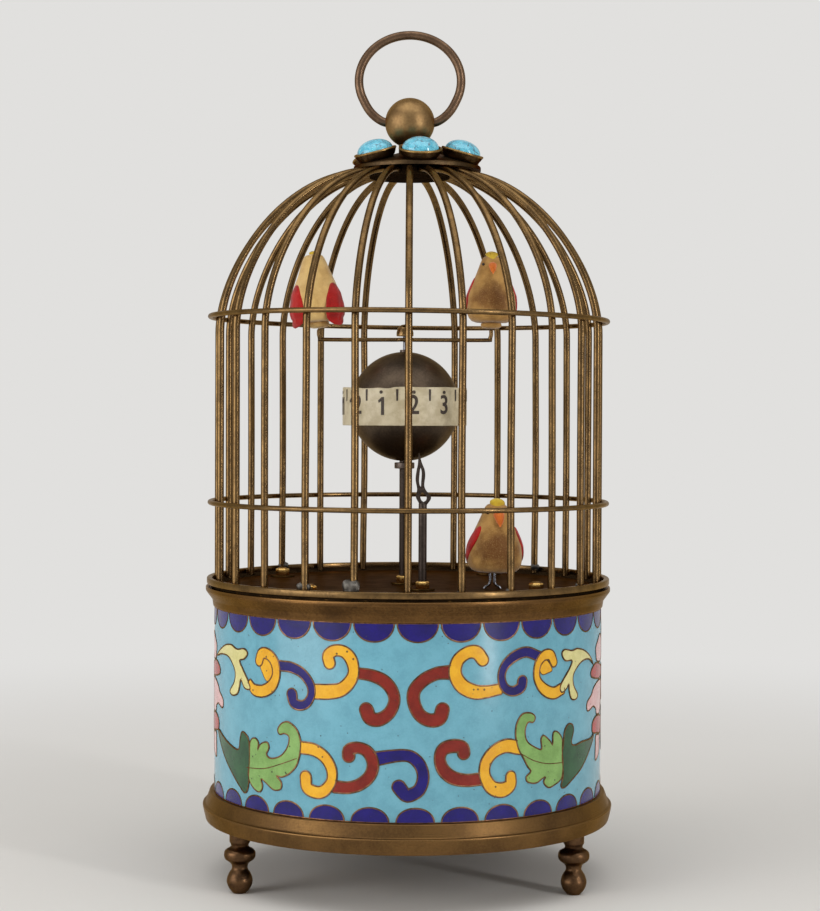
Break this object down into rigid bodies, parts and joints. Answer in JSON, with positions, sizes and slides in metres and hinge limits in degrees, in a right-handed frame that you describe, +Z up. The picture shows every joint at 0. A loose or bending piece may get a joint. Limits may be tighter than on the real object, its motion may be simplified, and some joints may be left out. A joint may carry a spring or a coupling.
{
  "type": "clock",
  "caption": "Birdcage clock: enamelled drum with a movement, a wire cage with a turning globe and hour band, a rocking perch with birds, a crown with stones and a bail",
  "frame": {"origin": "On the ground under the middle of the cage, between the feet.", "axes": "+Z is up, -Y is the front, from which the hour band is read, and +X is to the right of someone who looks at the front."},
  "size_m": [0.0816, 0.0816, 0.1682],
  "materials": {
    "aged_brass": "aged, satin",
    "dark_brass": "dark, patinated",
    "bright_brass": "polished",
    "dark_bronze": "dark, satin",
    "blued_steel": "satin",
    "blue_enamel": "glossy enamel on copper",
    "turquoise": "polished cabochon",
    "ivory": "ivory coloured, satin",
    "yellow_flock": "flocked",
    "orange_flock": "flocked"
  },
  "bodies": {
    "case": {"foot_left": "aged_brass", "foot_right": "aged_brass", "foot_rear": "aged_brass", "base_flange": "aged_brass", "upper_bezel": "aged_brass", "cage_bars": "aged_brass", "cage_base_ring": "aged_brass", "lower_hoop": "aged_brass", "upper_hoop": "aged_brass", "crown_plate": "aged_brass", "finial_ball": "aged_brass", "bottom_cover": "dark_brass", "floor_plate": "dark_brass", "floor_nut_1": "bright_brass", "floor_nut_2": "bright_brass", "floor_nut_3": "bright_brass", "floor_nut_4": "bright_brass", "pointer_nut": "bright_brass", "pipe_nut": "bright_brass", "bottom_plate": "bright_brass", "top_plate": "bright_brass", "pointer": "dark_bronze", "click": "blued_steel", "lower_bird_legs": "blued_steel", "enamel_drum": "blue_enamel", "cabochon_1": "turquoise", "cabochon_2": "turquoise", "cabochon_3": "turquoise", "cabochon_4": "turquoise", "cabochon_5": "turquoise", "cabochon_6": "turquoise", "lower_bird": "yellow_flock", "lower_bird_beak": "orange_flock"},
    "bail": {"bail_ring": "aged_brass"},
    "globe": {"hour_pipe": "dark_bronze", "globe_upper": "dark_bronze", "globe_lower": "dark_bronze", "hour_band": "ivory", "hour_wheel": "bright_brass"},
    "motion": {"motion_wheel": "bright_brass"},
    "minute": {"minute_arbor": "blued_steel", "set_knob": "bright_brass"},
    "third": {"third_wheel": "bright_brass"},
    "centre": {"centre_wheel": "bright_brass"},
    "barrel_body": {"barrel": "bright_brass", "mainspring": "blued_steel"},
    "escape": {"escape_wheel": "bright_brass"},
    "winding": {"winding_arbor": "blued_steel", "winding_key": "bright_brass"},
    "perch": {"perch_arbor": "blued_steel", "pallet_lever": "blued_steel", "perch_wire": "aged_brass", "perch_nut": "aged_brass", "left_bird": "yellow_flock", "left_bird_beak": "orange_flock", "right_bird": "yellow_flock", "right_bird_beak": "orange_flock"},
    "balance": {"balance_wheel": "bright_brass", "hairspring": "blued_steel"}
  },
  "joints": [
    {"name": "bail_swing", "type": "hinge", "parent": "case", "child": "bail", "pos_m": [0, 0, 0.15001], "axis": [1, 0, 0], "range_deg": [-100, 100]},
    {"name": "globe_turn", "type": "hinge", "parent": "case", "child": "globe", "pos_m": [-0.0008, 0, 0.0935], "axis": [0, 0, 1], "continuous": true},
    {"name": "motion_wheel_turn", "type": "hinge", "parent": "case", "child": "motion", "pos_m": [0.00372, -0.00847, 0.045], "axis": [0, 0, 1], "continuous": true},
    {"name": "minute_arbor_turn", "type": "hinge", "parent": "case", "child": "minute", "pos_m": [-0.0027, -0.01235, 0.025], "axis": [0, 0, 1], "continuous": true},
    {"name": "third_turn", "type": "hinge", "parent": "case", "child": "third", "pos_m": [0.00908, -0.0094, 0.03], "axis": [0, 0, 1], "continuous": true},
    {"name": "escape_turn", "type": "hinge", "parent": "case", "child": "escape", "pos_m": [0.0066, 0, 0.03], "axis": [0, 0, 1], "continuous": true},
    {"name": "centre_turn", "type": "hinge", "parent": "case", "child": "centre", "pos_m": [-0.0027, -0.01235, 0.03], "axis": [0, 0, 1], "continuous": true},
    {"name": "barrel_turn", "type": "hinge", "parent": "case", "child": "barrel_body", "pos_m": [-0.0165, -0.00277, 0.03], "axis": [0, 0, 1], "continuous": true},
    {"name": "winding_turn", "type": "hinge", "parent": "case", "child": "winding", "pos_m": [-0.0165, -0.00277, 0.015], "axis": [0, 0, 1], "continuous": true},
    {"name": "perch_swing", "type": "hinge", "parent": "case", "child": "perch", "pos_m": [-0.0008, 0, 0.1068], "axis": [0, 0, 1], "range_deg": [-7, 7]},
    {"name": "balance_swing", "type": "hinge", "parent": "case", "child": "balance", "pos_m": [-0.00354, 0.00752, 0.03], "axis": [0, 0, 1], "range_deg": [-31, 31]}
  ],
  "couplings": [
    {"joint": "motion_wheel_turn", "follows": "globe_turn", "ratio": -3},
    {"joint": "minute_arbor_turn", "follows": "globe_turn", "ratio": 12},
    {"joint": "escape_turn", "follows": "third_turn", "ratio": -8},
    {"joint": "centre_turn", "follows": "third_turn", "ratio": -0.125},
    {"joint": "barrel_turn", "follows": "third_turn", "ratio": 0.020833},
    {"joint": "balance_swing", "follows": "perch_swing", "ratio": -4.3333}
  ]
}
